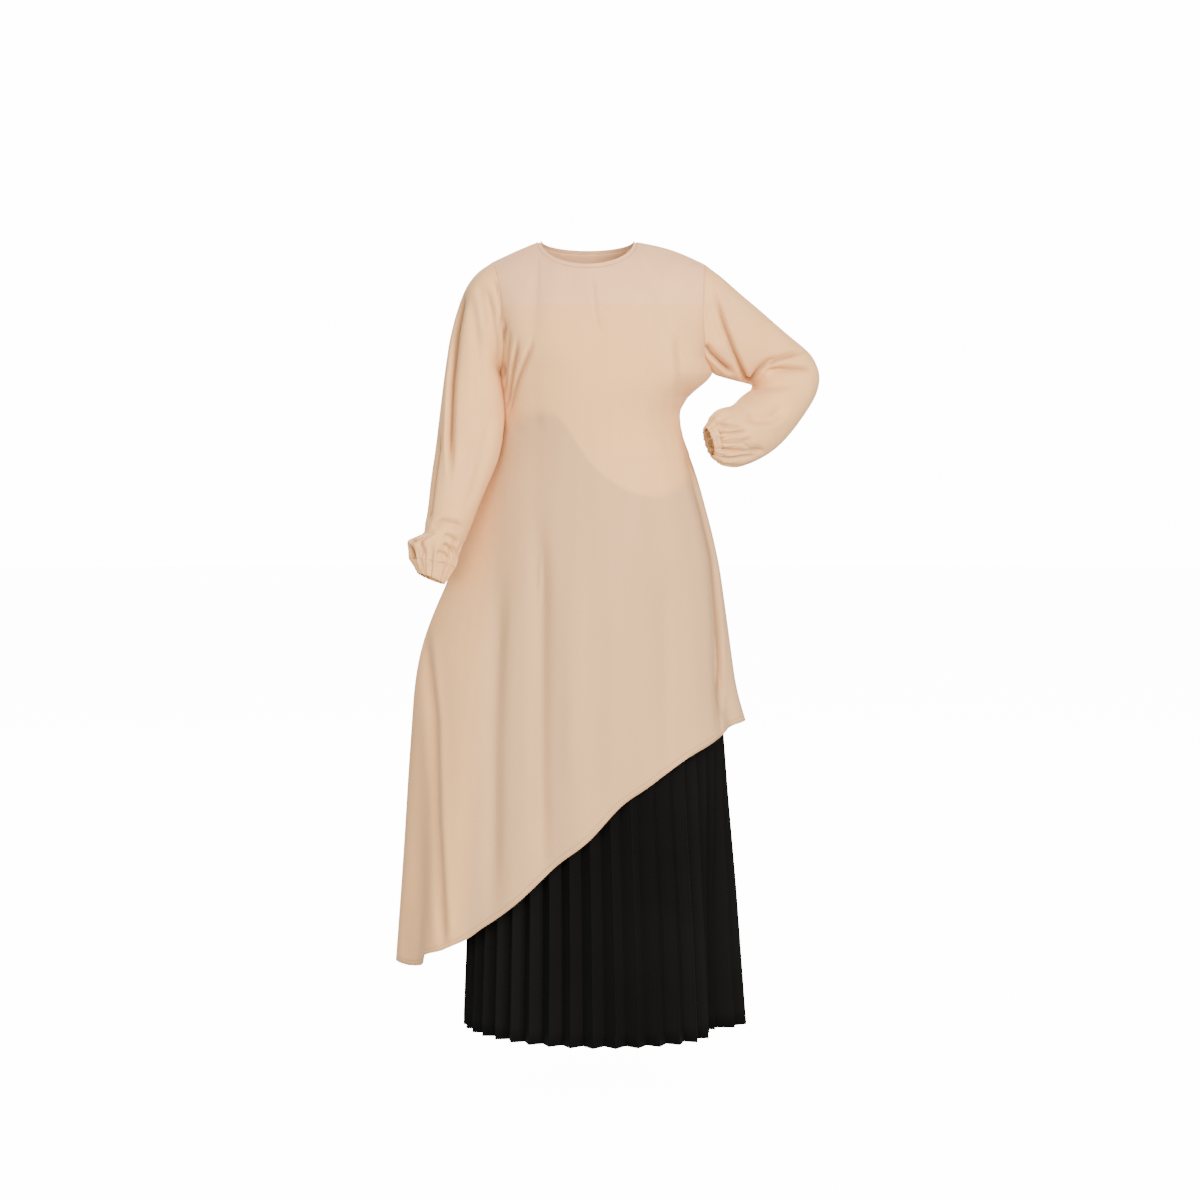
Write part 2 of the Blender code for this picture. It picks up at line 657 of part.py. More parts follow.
def raise_binding(binding):
    for ring, out in zip(binding.rings, binding.out):
        ring += out * (BINDING_THICKNESS - CLOTH) / 2


def waistband():
    """A plain band inside the overdress at the waist, which carries the skirt."""
    turns = [2.0 * column / WAISTBAND_COLUMNS for column in range(WAISTBAND_COLUMNS)]
    rings = []
    for z in (WAISTBAND_TOP, (WAISTBAND_TOP + WAISTBAND_BOTTOM) / 2, WAISTBAND_BOTTOM):
        rings.append(np.array([overdress_point(turn, z) for turn in turns]))
    band = Cloth(rings, closed=True)
    for ring, out in zip(band.rings, band.out):
        level_out(out)
        ring -= out * (CLOTH + WAISTBAND_CLEARANCE)
    return band


def level_out(out):
    """Turns ways out level, so that an edge stays at its own height through the cloth."""
    out[:] = unit(out * np.array([1.0, 1.0, 0.0]))


def build():
    clear_scene()
    collection = bpy.data.collections.new("abaya")
    bpy.context.scene.collection.children.link(collection)
    beige = cloth_material("beige_crepe", BEIGE, BEIGE_ROUGHNESS)
    black = cloth_material("black_pleated_crepe", BLACK, BLACK_ROUGHNESS)

    front = Cloth(panel_rings(front=True), closed=False)
    back = Cloth(panel_rings(front=False), closed=False)
    right_sleeve = Cloth(sleeve_rings(RIGHT_ARMHOLE, RIGHT_SLEEVE, RIGHT_FACING), closed=True)
    left_sleeve = Cloth(
        sleeve_rings(LEFT_ARMHOLE, LEFT_SLEEVE, LEFT_FACING), closed=True, mirrored=True
    )
    right_cuff = Cloth(cuff_rings(RIGHT_CUFF, RIGHT_FACING), closed=True)
    left_cuff = Cloth(cuff_rings(LEFT_CUFF, LEFT_FACING), closed=True, mirrored=True)
    binding = neck_binding()
    skirt_front = Cloth(skirt_rings(0, PANEL_PLEATS), closed=False)
    skirt_back = Cloth(skirt_rings(PANEL_PLEATS, PANEL_PLEATS), closed=False)

    join_shoulders(front, back)
    join_sides(front, back, YOKE_ROWS)
    join_armhole(front, back, right_sleeve, right=True)
    join_armhole(front, back, left_sleeve, right=False)
    join_cuff(right_sleeve, right_cuff)
    join_cuff(left_sleeve, left_cuff)
    join_neck(binding, front, back)
    raise_binding(binding)
    join_sides(skirt_front, skirt_back, 0)
    level_out(skirt_front.out[0])
    level_out(skirt_back.out[0])

    front.make("front_panel", beige, CLOTH, collection)
    back.make("back_panel", beige, CLOTH, collection)
    right_sleeve.make("sleeve_right", beige, CLOTH, collection)
    left_sleeve.make("sleeve_left", beige, CLOTH, collection)
    right_cuff.make("cuff_right", beige, CUFF_THICKNESS, collection)
    left_cuff.make("cuff_left", beige, CUFF_THICKNESS, collection)
    binding.make("neck_binding", beige, BINDING_THICKNESS, collection)
    skirt_front.make("skirt_front", black, CLOTH, collection)
    skirt_back.make("skirt_back", black, CLOTH, collection)
    waistband().make("skirt_waistband", black, WAISTBAND_THICKNESS, collection)


build()
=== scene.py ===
"""Looks for a full-length abaya: a beige crepe overdress over a black accordion-pleated skirt.

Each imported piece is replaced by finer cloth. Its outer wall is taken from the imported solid,
smoothed, given the folds, drags and gathers of the real cloth, seated on its neighbours and made
a sheet again. +X is the garment's own left, -Y the front and +Z up. Every length is in metres.
"""

import math
from collections import namedtuple

import bmesh
import bpy
import numpy as np
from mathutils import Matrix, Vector, bvhtree, kdtree, noise


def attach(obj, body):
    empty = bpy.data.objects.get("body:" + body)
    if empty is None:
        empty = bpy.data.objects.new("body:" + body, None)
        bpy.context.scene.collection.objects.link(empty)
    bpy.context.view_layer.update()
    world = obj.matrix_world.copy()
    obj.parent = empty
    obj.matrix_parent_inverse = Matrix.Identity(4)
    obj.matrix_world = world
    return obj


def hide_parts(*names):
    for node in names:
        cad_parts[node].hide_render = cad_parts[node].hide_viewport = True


# The camera stands at the photograph's viewing angle: degrees down, and millimetres of lens
CAMERA_PLACE = (0.0176, -4.4, -0.27)
CAMERA_DIP = 4.577
CAMERA_LENS = 75.784
CAMERA_SENSOR = 36.0

# Softboxes: where each stands, what it points at, its width and its power in watts
Softbox = namedtuple("Softbox", "name place aim size power")
SOFTBOXES = [
    Softbox("key", (2.1, -3.4, 0.9), (0.0, 0.0, -0.5), 1.5, 225.0),
    Softbox("fill", (-1.5, -3.9, -0.5), (0.0, 0.0, -0.8), 1.5, 80.0),
    Softbox("front", (0.3, -4.4, 0.2), (0.0, 0.0, -0.6), 2.0, 140.0),
    Softbox("top", (0.3, -0.6, 2.8), (0.0, 0.0, -0.3), 2.2, 35.0),
    Softbox("back", (-1.2, 3.6, 1.6), (0.0, 0.0, -0.5), 2.4, 240.0),
]
LAMP_COLOUR = "FFEDD3"
SKY_COLOUR = "F8F7F8"
SKY_LIGHT = 0.65

# The white backdrop and floor are lit apart from the garment, as in a studio
WHITE = "FFFFFF"
BACKDROP = 15.0
FLOOR_COLOUR = "FAFAFA"
FLOOR_GLOW = 13.6
FLOOR_Z = -1.471
FLOOR_RADIUS = 14.0
FLOOR_SIDES = 96

# How finely the cloth is divided, and how thick it shows
FINE = 3
PLAIN = 1
CREPE_THICKNESS = 0.0009
BAND_THICKNESS = 0.0014

# Each piece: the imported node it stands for, the least and most its wall measures there, how thick
# it shows here, and its material slot
Piece = namedtuple("Piece", "node thin thick shown slot")
BEIGE = "beige_crepe"
BLACK = "black_pleated_crepe"
FRONT = Piece("front_panel", 0.0014, 0.0031, CREPE_THICKNESS, BEIGE)
BACK = Piece("back_panel", 0.0014, 0.0031, CREPE_THICKNESS, BEIGE)
RIGHT_SLEEVE = Piece("sleeve_right", 0.0014, 0.0031, CREPE_THICKNESS, BEIGE)
LEFT_SLEEVE = Piece("sleeve_left", 0.0014, 0.0031, CREPE_THICKNESS, BEIGE)
RIGHT_CUFF = Piece("cuff_right", 0.0019, 0.0026, BAND_THICKNESS, BEIGE)
LEFT_CUFF = Piece("cuff_left", 0.0019, 0.0026, BAND_THICKNESS, BEIGE)
BINDING = Piece("neck_binding", 0.0020, 0.0031, BAND_THICKNESS, BEIGE)
SKIRT_FRONT = Piece("skirt_front", 0.0014, 0.0031, CREPE_THICKNESS, BLACK)
SKIRT_BACK = Piece("skirt_back", 0.0014, 0.0031, CREPE_THICKNESS, BLACK)
WAISTBAND = Piece("skirt_waistband", 0.0019, 0.0031, BAND_THICKNESS, BLACK)

# What each sheet of cloth was cut to before it was sewn: width, length and area of what shows
Cut = namedtuple("Cut", "piece width length area held rests_on")

# Reading a packed wall: points closer than TINY are one, the ends of an edge across the wall lie
# BEHIND each other, and triangles this alike join into quads
TINY = 1e-5
BEHIND = 0.02
JOIN_FACE = math.radians(60)
JOIN_SHAPE = math.radians(120)
# Turns sharper than these stay sharp: at a sheet's corner, and along a pressed pleat
CORNER = math.radians(35)
RIDGE = math.radians(25)

# Folds, as paths of (x, z) in the front or back view. groove is how deep the middle lies, lap how
# far one side of the path stands over the other, and width how far from the path that reaches.
# Each fold fades over a share of its path at its start and end.
Fold = namedtuple("Fold", "path width groove lap start end", defaults=(0.25, 0.25))
FRONT_FOLDS = [
    # The short crease below the neck
    Fold(((0.004, -0.050), (0.011, -0.124), (0.020, -0.170)), 0.004, 0.0020, 0.0),
    # Drags from the right armhole
    Fold(((-0.144, -0.135), (-0.149, -0.165), (-0.152, -0.195), (-0.150, -0.245)),
         0.0045, 0.010, 0.0, 0.15, 0.2),
    Fold(((-0.136, -0.150), (-0.141, -0.190), (-0.145, -0.225), (-0.148, -0.275)),
         0.0042, 0.007, -0.001),
    Fold(((-0.121, -0.165), (-0.130, -0.211), (-0.139, -0.254), (-0.145, -0.298)),
         0.0042, 0.009, -0.002),
    Fold(((-0.094, -0.168), (-0.108, -0.203), (-0.122, -0.234), (-0.134, -0.272), (-0.142, -0.310)),
         0.0042, 0.008, -0.002),
    Fold(((-0.140, -0.330), (-0.112, -0.312), (-0.075, -0.300)), 0.014, 0.0025, 0.0015),
    # Below the left armhole
    Fold(((0.148, -0.150), (0.152, -0.200), (0.156, -0.245), (0.157, -0.310)),
         0.010, 0.007, -0.004),
    # Hanging folds
    Fold(((-0.086, -0.440), (-0.084, -0.560), (-0.084, -0.848), (-0.080, -1.130)),
         0.015, 0.013, 0.0),
    Fold(((-0.150, -0.540), (-0.158, -0.700), (-0.164, -0.864), (-0.166, -1.180)),
         0.016, 0.011, 0.003),
    Fold(((0.128, -0.540), (0.136, -0.700), (0.140, -0.940)), 0.022, 0.011, 0.0),
    Fold(((0.150, -0.330), (0.175, -0.400), (0.196, -0.470), (0.214, -0.549), (0.224, -0.683),
          (0.226, -0.900)),
         0.006, 0.010, 0.006),
    Fold(((-0.291, -0.645), (-0.285, -0.690), (-0.2695, -0.819), (-0.2640, -0.992),
          (-0.2550, -1.130), (-0.2490, -1.225)),
         0.009, 0.011, 0.006, 0.2, 0.12),
    Fold(((0.020, -0.620), (0.012, -0.800), (0.016, -1.010)), 0.022, 0.006, 0.0),
    Fold(((-0.030, -0.520), (-0.034, -0.700), (-0.032, -0.960)), 0.020, -0.004, 0.0),
]
BACK_FOLDS = [
    Fold(((-0.130, -0.110), (-0.118, -0.180), (-0.128, -0.270)), 0.009, 0.006, 0.003),
    Fold(((0.172, -0.110), (0.160, -0.180), (0.160, -0.270)), 0.009, 0.006, -0.003),
    Fold(((-0.070, -0.296), (0.010, -0.318), (0.100, -0.296)), 0.018, 0.002, 0.001, 0.5, 0.5),
    Fold(((-0.100, -0.460), (-0.120, -0.700), (-0.130, -1.060)), 0.016, 0.008, 0.0),
    Fold(((-0.170, -0.600), (-0.190, -0.850), (-0.200, -1.180)), 0.014, 0.007, 0.002),
    Fold(((-0.045, -0.520), (-0.050, -0.760), (-0.055, -1.020)), 0.018, -0.004, 0.0),
    Fold(((0.010, -0.480), (0.015, -0.700), (0.020, -0.960)), 0.018, 0.006, 0.0),
    Fold(((0.120, -0.460), (0.140, -0.650), (0.150, -0.860)), 0.016, 0.007, 0.0),
]
RIGHT_SLEEVE_FOLDS = [
    # The long fold near the outer edge, and a softer one beside it
    Fold(((-0.213, -0.078), (-0.224, -0.115), (-0.232, -0.160), (-0.238, -0.243),
          (-0.239, -0.338), (-0.236, -0.430)),
         0.005, 0.014, -0.008, 0.12, 0.30),
    Fold(((-0.206, -0.080), (-0.197, -0.140), (-0.190, -0.210), (-0.186, -0.300)),
         0.010, 0.006, 0.0),
    # Folds of the sleeve head
    Fold(((-0.166, -0.058), (-0.154, -0.095), (-0.150, -0.125), (-0.154, -0.160)),
         0.005, 0.006, 0.003),
    Fold(((-0.180, -0.070), (-0.166, -0.120), (-0.158, -0.175), (-0.158, -0.230)),
         0.006, 0.005, 0.002),
    Fold(((-0.190, -0.068), (-0.184, -0.110), (-0.176, -0.160)), 0.007, 0.004, 0.0),
    # The sleeve's lower half
    Fold(((-0.166, -0.290), (-0.176, -0.350), (-0.196, -0.430), (-0.214, -0.470)),
         0.009, 0.005, 0.002),
    Fold(((-0.206, -0.330), (-0.216, -0.400), (-0.232, -0.460)), 0.012, 0.004, 0.0),
    Fold(((-0.2545, -0.325), (-0.2580, -0.352), (-0.2670, -0.418), (-0.2745, -0.484)),
         0.0045, 0.011, 0.002, 0.25, 0.15),
    Fold(((-0.272, -0.488), (-0.250, -0.476), (-0.227, -0.480), (-0.210, -0.492)),
         0.005, 0.005, 0.004),
    Fold(((-0.246, -0.498), (-0.230, -0.506), (-0.222, -0.518)), 0.004, 0.005, 0.003),
    # The puff over the cuff
    Fold(((-0.3035, -0.514), (-0.301, -0.530), (-0.2955, -0.545), (-0.290, -0.562)),
         0.0035, 0.012, 0.0, 0.2, 0.1),
    Fold(((-0.277, -0.500), (-0.285, -0.512), (-0.300, -0.508)), 0.004, 0.005, -0.004),
    Fold(((-0.277, -0.503), (-0.281, -0.520), (-0.283, -0.542)), 0.004, 0.005, -0.003),
    Fold(((-0.260, -0.528), (-0.247, -0.533), (-0.234, -0.542)), 0.004, 0.005, 0.002),
    Fold(((-0.248, -0.514), (-0.237, -0.523), (-0.227, -0.536)), 0.004, 0.006, 0.003),
    Fold(((-0.234, -0.518), (-0.226, -0.531), (-0.224, -0.545)), 0.0035, 0.004, 0.0),
]
LEFT_SLEEVE_FOLDS = [
    # From the sleeve head to the inner bend
    Fold(((0.211, -0.070), (0.222, -0.110), (0.232, -0.145), (0.249, -0.190), (0.264, -0.222),
          (0.277, -0.248)),
         0.0045, 0.013, 0.006, 0.35, 0.03),
    Fold(((0.192, -0.170), (0.208, -0.196), (0.230, -0.216), (0.250, -0.232)),
         0.0045, 0.013, -0.007, 0.2, 0.2),
    Fold(((0.200, -0.105), (0.210, -0.145), (0.228, -0.185)), 0.008, 0.006, 0.0),
    # Creases out of the bend
    Fold(((0.277, -0.248), (0.292, -0.224), (0.310, -0.208), (0.330, -0.201)),
         0.0045, 0.013, -0.005, 0.03, 0.4),
    Fold(((0.305, -0.219), (0.325, -0.205), (0.350, -0.197), (0.384, -0.186)),
         0.0045, 0.010, -0.004, 0.25, 0.4),
    Fold(((0.300, -0.224), (0.330, -0.219), (0.362, -0.218), (0.396, -0.220)),
         0.005, 0.009, 0.003, 0.2, 0.3),
    Fold(((0.276, -0.254), (0.300, -0.249), (0.330, -0.247), (0.362, -0.252)),
         0.008, 0.008, 0.0, 0.05, 0.4),
    Fold(((0.262, -0.300), (0.285, -0.309), (0.312, -0.307), (0.345, -0.286)),
         0.009, 0.010, -0.006),
    Fold(((0.300, -0.362), (0.276, -0.356), (0.258, -0.342)), 0.006, 0.007, 0.003),
    # Gathers run back from the cuff
    Fold(((0.208, -0.312), (0.234, -0.318), (0.262, -0.318)), 0.004, 0.005, 0.002),
    Fold(((0.206, -0.326), (0.237, -0.330), (0.272, -0.325)), 0.004, 0.006, 0.002),
    Fold(((0.206, -0.341), (0.241, -0.345), (0.280, -0.340)), 0.004, 0.006, -0.002),
    Fold(((0.208, -0.354), (0.246, -0.359), (0.308, -0.361)), 0.004, 0.006, 0.002),
    Fold(((0.212, -0.367), (0.247, -0.372), (0.292, -0.367)), 0.004, 0.005, 0.0),
]
# A fold fades out on cloth that turns away from its view, from this much past edge-on
TURNED_FROM = 0.10
TURNED_OVER = 0.35
# A fold narrower than this is a tight crease, wholly so where it is this deep; half its width
CREASE_BELOW = 0.0065
CREASE_FULL = 0.012
CREASE_WIDTH = 0.0024

# Swells move a side of a piece along x, by rows of (height, move). They come in from x = start,
# over a signed distance.
Swell = namedtuple("Swell", "start over moves")
PANEL_SWELLS = [
    # The right side, out to the hanging sleeve
    Swell(-0.055, -0.080, (
        (-0.60, 0.0),
        (-0.53, -0.004),
        (-0.48, -0.010),
        (-0.42, -0.015),
        (-0.36, -0.013),
        (-0.33, -0.010),
        (-0.30, -0.008),
        (-0.27, -0.006),
        (-0.25, -0.0065),
        (-0.23, -0.0055),
        (-0.215, -0.002),
        (-0.20, 0.0),
    )),
    # The left side, which runs straighter down from the sleeve to the waist
    Swell(0.100, 0.050, (
        (-0.330, 0.0),
        (-0.311, -0.001),
        (-0.291, -0.0055),
        (-0.270, -0.0070),
        (-0.258, -0.003),
        (-0.248, 0.002),
        (-0.238, 0.007),
        (-0.228, 0.010),
        (-0.215, 0.006),
        (-0.200, 0.0),
    )),
]
RIGHT_SLEEVE_SWELLS = [
    # The inner side, towards the overdress
    Swell(-0.180, 0.020, (
        (-0.33, 0.0),
        (-0.29, 0.002),
        (-0.26, 0.003),
        (-0.238, 0.003),
        (-0.222, 0.001),
        (-0.21, 0.0),
    )),
    # The outer side, where the puff over the cuff stands out in a step
    Swell(-0.250, -0.025, (
        (-0.5300, 0.0),
        (-0.5236, -0.002),
        (-0.5168, -0.0055),
        (-0.5117, -0.0075),
        (-0.5060, -0.001),
        (-0.5000, 0.007),
        (-0.4920, 0.003),
        (-0.4830, 0.0),
    )),
]

# The front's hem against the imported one, in rows of (x, rise), and how far up the cloth goes along
HEM_TRIM = (
    (-0.3410, 0.0),
    (-0.3290, -0.0030),
    (-0.3170, -0.0060),
    (-0.3030, -0.0070),
    (-0.2940, -0.0052),
    (-0.2885, -0.0030),
    (-0.2860, 0.0085),
    (-0.2780, 0.0040),
    (-0.2700, -0.0025),
    (-0.2620, -0.0070),
    (-0.2530, -0.0095),
    (-0.2375, -0.0085),
    (-0.2135, -0.0055),
    (-0.1850, 0.0),
)
HEM_REACH = 0.060
# A border is the slanting hem below this height, where it runs sideways this much for its drop
HEM_BELOW = -0.80
HEM_LEAN = 0.5

# How clear of the skirt the overdress stays, and how far out that is tested from
CLEAR = 0.0032
LIFT_FROM = 0.025

# The armholes lie outside these x and above this height
RIGHT_ARMHOLE = -0.125
LEFT_ARMHOLE = 0.165
ARMHOLE_BOTTOM = -0.2275

# Where each cuff starts, and the way its opening faces
CuffLine = namedtuple("CuffLine", "start way")
RIGHT_LINE = CuffLine((-0.268, -0.102, -0.553), (-0.08, -0.14, -0.99))
LEFT_LINE = CuffLine((0.2145, -0.087, -0.342), (-0.92, -0.23, -0.31))
# Gathers: how many go round, where they start, how deep they are and how far from the cuff's start
# they reach. Each wanders sideways by a part of its own width.
Gather = namedtuple("Gather", "count turn depth reach")
SLEEVE_GATHERS = [
    Gather(23, 0.6, 0.0014, 0.022),
    Gather(37, 2.1, 0.0009, 0.016),
    Gather(9, 4.0, 0.0008, 0.040),
]
CUFF_GATHERS = [
    Gather(23, 0.6, 0.0007, 0.100),
    Gather(37, 2.1, 0.0005, 0.100),
]
WANDER = 0.5
ELASTIC_ROWS = (0.007, 0.014)
ELASTIC_WIDTH = 0.0012
ELASTIC_DEPTH = 0.0006

# Slight unevenness of hanging cloth, longer downwards than across
RIPPLE_SIZE = 0.085
RIPPLE_HEIGHT = 0.0011
RIPPLE_STRETCH = 0.35

# Seams: the gap left at a seated border, how far from it the cloth is drawn along, and how close
# two panels' borders were sewn together
SEAT_GAP = 0.0003
SLEEVE_REACH = 0.022
CUFF_REACH = 0.008
BORDER_REACH = 0.012
SEAM_REACH = 0.001
QUARTERS = (0.0, 0.25, 0.5, 0.75)

# Where the top is lined, and where the skirt lies behind the overdress and the crepe is given a
# painted shade: its top edge in the front view, its side at the top and at the hem, and how softly
# each shows through, by x
LINED_ABOVE = -0.115
LINED_FADE = 0.006
SKIRT_TOP = (
    (-0.200, -0.330),
    (-0.136, -0.312),
    (-0.085, -0.296),
    (-0.060, -0.296),
    (-0.039, -0.318),
    (-0.020, -0.349),
    (0.000, -0.379),
    (0.028, -0.404),
    (0.057, -0.423),
    (0.085, -0.434),
    (0.112, -0.438),
    (0.140, -0.430),
    (0.166, -0.407),
)
SKIRT_FADE = ((-0.110, 0.040), (-0.030, 0.014), (0.010, 0.008), (0.100, 0.008), (0.140, 0.035))
SKIRT_SIDE = ((-0.37, -0.180), (-1.37, -0.250))
SIDE_FADE = 0.040

# Beige crepe: the two tones it drifts between, then lined, over the skirt (partly painted shade),
# and deep in a crease
BEIGE_WARM = "EBBB85"
BEIGE_TAN = "E7B988"
BEIGE_PINK = "E9BA95"
BEIGE_SHADED_GREY = "CFAB84"
BEIGE_CREASE = "7A5A46"
BEIGE_SHEEN = "F3E2D2"
CREASE_SHADE = 0.75
# Black crepe: its two tones, and the edge of a pleat, which is smoother and painted paler as a
# painted highlight
BLACK_DEEP = "07080A"
BLACK_SOFT = "0B0C0F"
BLACK_PAINTED_HIGHLIGHT = "16181C"
BLACK_SHEEN = "8C8C90"
PLEAT_ROUGHNESS = (0.78, 0.62)
PRESSED_WIDTH = 0.0025
# Patterns, in turns a metre. Crepe yarns lie about 0.3 mm apart. They are drawn at 1.6 mm, or they
# would not show. Streaks run along the warp.
WEAVE = 620.0
STREAKS = (26.0, 26.0, 1.3)
BEIGE_DRIFT = 4.0
BLACK_DRIFT = 5.0
# Nearly all of a noise's values lie in this range. Streaks and yarns shade the cloth by these.
NOISE_RANGE = (0.3, 0.7)
STREAK_SHADES = (0.955, 1.03)
YARN_SHADES = (0.965, 1.03)
YARN_HEIGHT = 0.0004
# The hem's row of stitches: how far up it lies, its width from core to edge, each stitch's length
# with the share at which it ends, how much darker it is and how deep it is drawn in
HEM_TURN = 0.009
STITCH_EDGE = (0.0004, 0.0009)
STITCH_LENGTH = 0.0045
STITCH_END = (0.66, 0.74)
STITCH_SHADE = 0.80
STITCH_DEPTH = 0.0006


def linear(hex_colour):
    """sRGB hex to the linear values that shaders take."""
    values = [int(hex_colour[i : i + 2], 16) / 255 for i in (0, 2, 4)]
    shades = [v / 12.92 if v <= 0.04045 else ((v + 0.055) / 1.055) ** 2.4 for v in values]
    return (*shades, 1.0)


def smoothstep(share):
    share = np.clip(share, 0.0, 1.0)
    return share * share * (3.0 - 2.0 * share)


def add_node(material, kind, inputs=None, **settings):
    """One node with its settings; inputs holds values, or sockets to link from."""
    tree = material.node_tree
    made = tree.nodes.new(kind)
    for name, value in settings.items():
        setattr(made, name, value)
    for key, value in (inputs or {}).items():
        if isinstance(value, bpy.types.NodeSocket):
            tree.links.new(value, made.inputs[key])
        else:
            made.inputs[key].default_value = value
    return made


def attribute(material, name):
    """A mark that was written on the cloth. Pieces without it read 0."""
    return add_node(material, "ShaderNodeAttribute", attribute_name=name).outputs["Fac"]


def noise_of(material, place, scale, detail):
    inputs = {"Vector": place, "Scale": scale, "Detail": detail}
    return add_node(material, "ShaderNodeTexNoise", inputs).outputs["Fac"]


def calculate(material, operation, *values):
    """One step of arithmetic on sockets and numbers."""
    inputs = dict(enumerate(values))
    return add_node(material, "ShaderNodeMath", inputs, operation=operation).outputs["Value"]


def carried(material, value, to, start=(0.0, 1.0)):
    """A value carried from one range to another."""
    inputs = {"Value": value, "From Min": start[0], "From Max": start[1]}
    inputs.update({"To Min": to[0], "To Max": to[1]})
    return add_node(material, "ShaderNodeMapRange", inputs).outputs["Result"]


def mixed(material, share, first, second):
    """A share of the second colour over the first."""
    inputs = {0: share, 6: first, 7: linear(second)}
    return add_node(material, "ShaderNodeMix", inputs, data_type="RGBA").outputs[2]


def two_tones(material, value, *stops):
    """A drift from one colour to another: each stop is where it lies, and its colour."""
    ramp = add_node(material, "ShaderNodeValToRGB", {"Fac": value})
    for element, (position, colour) in zip(ramp.color_ramp.elements, stops):
        element.position = position
        element.color = linear(colour)
    return ramp.outputs["Color"]


def bump(material, height, strength, distance, under=None, **settings):
    """A raised pattern, over another one where under gives its normals."""
    inputs = {"Height": height, "Strength": strength, "Distance": distance}
    if under is not None:
        inputs["Normal"] = under
    return add_node(material, "ShaderNodeBump", inputs, **settings).outputs["Normal"]


def new_material(name, **finish):
    """A material with its Principled BSDF, whose constant values are set on its own sockets."""
    material = bpy.data.materials.new(name)
    material.use_nodes = True
    shader = material.node_tree.nodes["Principled BSDF"]
    for socket, value in finish.items():
        shader.inputs[socket.replace("_", " ")].default_value = value
    return material, shader


def stitch_line(material):
    """Where the hem's row of stitches lies: 1 on a stitch, 0 elsewhere."""
    hem = attribute(material, "hem")
    along = attribute(material, "along")
    away = calculate(material, "ABSOLUTE", calculate(material, "SUBTRACT", hem, HEM_TURN))
    on_line = carried(material, away, (1.0, 0.0), STITCH_EDGE)
    phase = calculate(material, "MULTIPLY", along, 1.0 / STITCH_LENGTH)
    dash = carried(material, calculate(material, "FRACT", phase), (1.0, 0.0), STITCH_END)
    return calculate(material, "MULTIPLY", on_line, dash)


def beige_crepe():
    """Polyester crepe, woven of hard-twisted yarn: dry and matte, with a fine pebbled face."""
    material, shader = new_material(
        "polyester crepe, woven, beige",
        Roughness=0.86,
        IOR=1.46,
        Specular_IOR_Level=0.25,
        Sheen_Weight=0.25,
        Sheen_Roughness=0.45,
        Sheen_Tint=linear(BEIGE_SHEEN),
    )
    place = add_node(material, "ShaderNodeTexCoord").outputs["Object"]

    # Tone drifts over about 25 cm. The cloth is thin: it is pinker where it is lined. Where the
    # black skirt lies behind it, it is greyer, and also darker by a painted shade. Little light
    # reaches the bottom of a tight crease.
    drift = noise_of(material, place, BEIGE_DRIFT, 2.0)
    tone = two_tones(material, drift, (0.36, BEIGE_WARM), (0.64, BEIGE_TAN))
    tone = mixed(material, attribute(material, "lined"), tone, BEIGE_PINK)
    # Painted shade: greyer and darker over the skirt, partly the skirt showing through the crepe
    tone = mixed(material, attribute(material, "backed_and_shaded"), tone, BEIGE_SHADED_GREY)
    creased = carried(material, attribute(material, "crease"), (0.0, CREASE_SHADE))
    tone = mixed(material, creased, tone, BEIGE_CREASE)

    upright = add_node(material, "ShaderNodeMapping", {"Vector": place, "Scale": STREAKS})
    streaks = noise_of(material, upright.outputs["Vector"], 1.0, 3.0)
    yarns = noise_of(material, place, WEAVE, 2.0)
    stitched = stitch_line(material)
    shade = calculate(
        material,
        "MULTIPLY",
        carried(material, streaks, STREAK_SHADES, NOISE_RANGE),
        carried(material, yarns, YARN_SHADES, NOISE_RANGE),
    )
    darker = carried(material, stitched, (1.0, STITCH_SHADE))
    shade = calculate(material, "MULTIPLY", shade, darker)
    inputs = {0: tone, "Scale": shade}
    colour = add_node(material, "ShaderNodeVectorMath", inputs, operation="SCALE")
    grain = bump(material, yarns, 0.22, YARN_HEIGHT)
    sewn = bump(material, stitched, 0.8, STITCH_DEPTH, under=grain, invert=True)
    links = material.node_tree.links
    links.new(colour.outputs["Vector"], shader.inputs["Base Color"])
    links.new(sewn, shader.inputs["Normal"])
    return material


def black_pleated_crepe():
    """Polyester crepe, heat-set in accordion pleats: near black, with a dull gleam on them."""
    material, shader = new_material(
        "polyester crepe, pleated, black",
        IOR=1.46,
        Specular_IOR_Level=0.10,
        Sheen_Weight=0.02,
        Sheen_Roughness=0.5,
        Sheen_Tint=linear(BLACK_SHEEN),
    )
    place = add_node(material, "ShaderNodeTexCoord").outputs["Object"]
    drift = noise_of(material, place, BLACK_DRIFT, 3.0)
    tone = two_tones(material, drift, (0.35, BLACK_DEEP), (0.68, BLACK_SOFT))
    pressed = attribute(material, "pressed")
    yarns = noise_of(material, place, WEAVE, 2.0)
    links = material.node_tree.links
    # Painted highlight: the pleats' outer edges are painted paler than the rest
    links.new(mixed(material, pressed, tone, BLACK_PAINTED_HIGHLIGHT), shader.inputs["Base Color"])
    links.new(carried(material, pressed, PLEAT_ROUGHNESS), shader.inputs["Roughness"])
    links.new(bump(material, yarns, 0.3, YARN_HEIGHT), shader.inputs["Normal"])
    return material


def merged(node):
    """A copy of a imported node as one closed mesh."""
    mesh = bmesh.new()
    mesh.from_mesh(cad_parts[node].data)
    bmesh.ops.remove_doubles(mesh, verts=mesh.verts, dist=TINY)
    mesh.normal_update()
    return mesh


def rim_faces(mesh, piece):
    """The faces round a sheet's borders: each has an edge across the wall."""
    rims = set()
    for edge in mesh.edges:
        first, last = edge.verts
        span = last.co - first.co
        if not piece.thin <= span.length <= piece.thick:
            continue
        span.normalize()
        if first.normal.dot(span) < -BEHIND and last.normal.dot(span) > BEHIND:
            rims.update(edge.link_faces)
    return list(rims)


